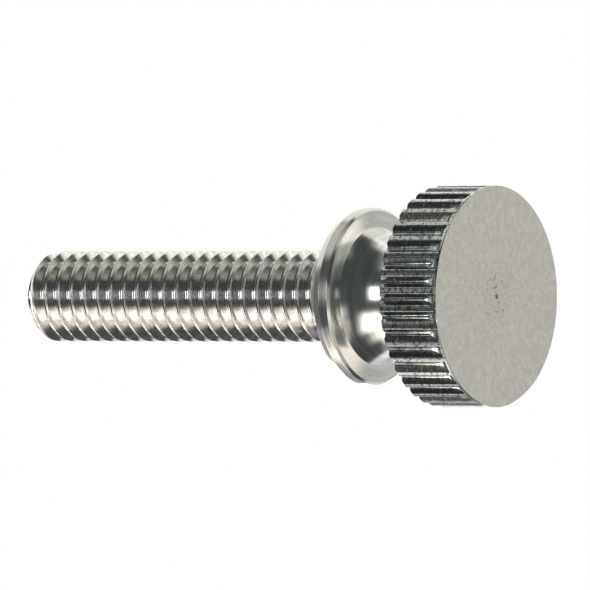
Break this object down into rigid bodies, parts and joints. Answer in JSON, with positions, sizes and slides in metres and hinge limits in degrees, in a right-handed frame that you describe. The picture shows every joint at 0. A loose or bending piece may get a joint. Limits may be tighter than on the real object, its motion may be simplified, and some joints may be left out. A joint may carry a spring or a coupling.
{
  "type": "thumb screw",
  "caption": "Collared thumb screw: a straight-knurled round head on a short neck, a bevelled washer collar and a metric threaded shank with a chamfered tip, turned in one piece.",
  "frame": {"origin": "centre of the head's flat face, on which the screw stands", "axes": "+Z along the screw's axis from the head to the tip of the thread; X and Y are equal across the round head, with a knurl crest on +X"},
  "size_m": [0.0094, 0.0094, 0.0234],
  "materials": {
    "stainless_steel": "bright turned stainless steel, with fine facing marks on the head and collar and a polished neck and thread"
  },
  "bodies": {
    "root": {"thumb_screw": "stainless_steel"}
  },
  "joints": []
}
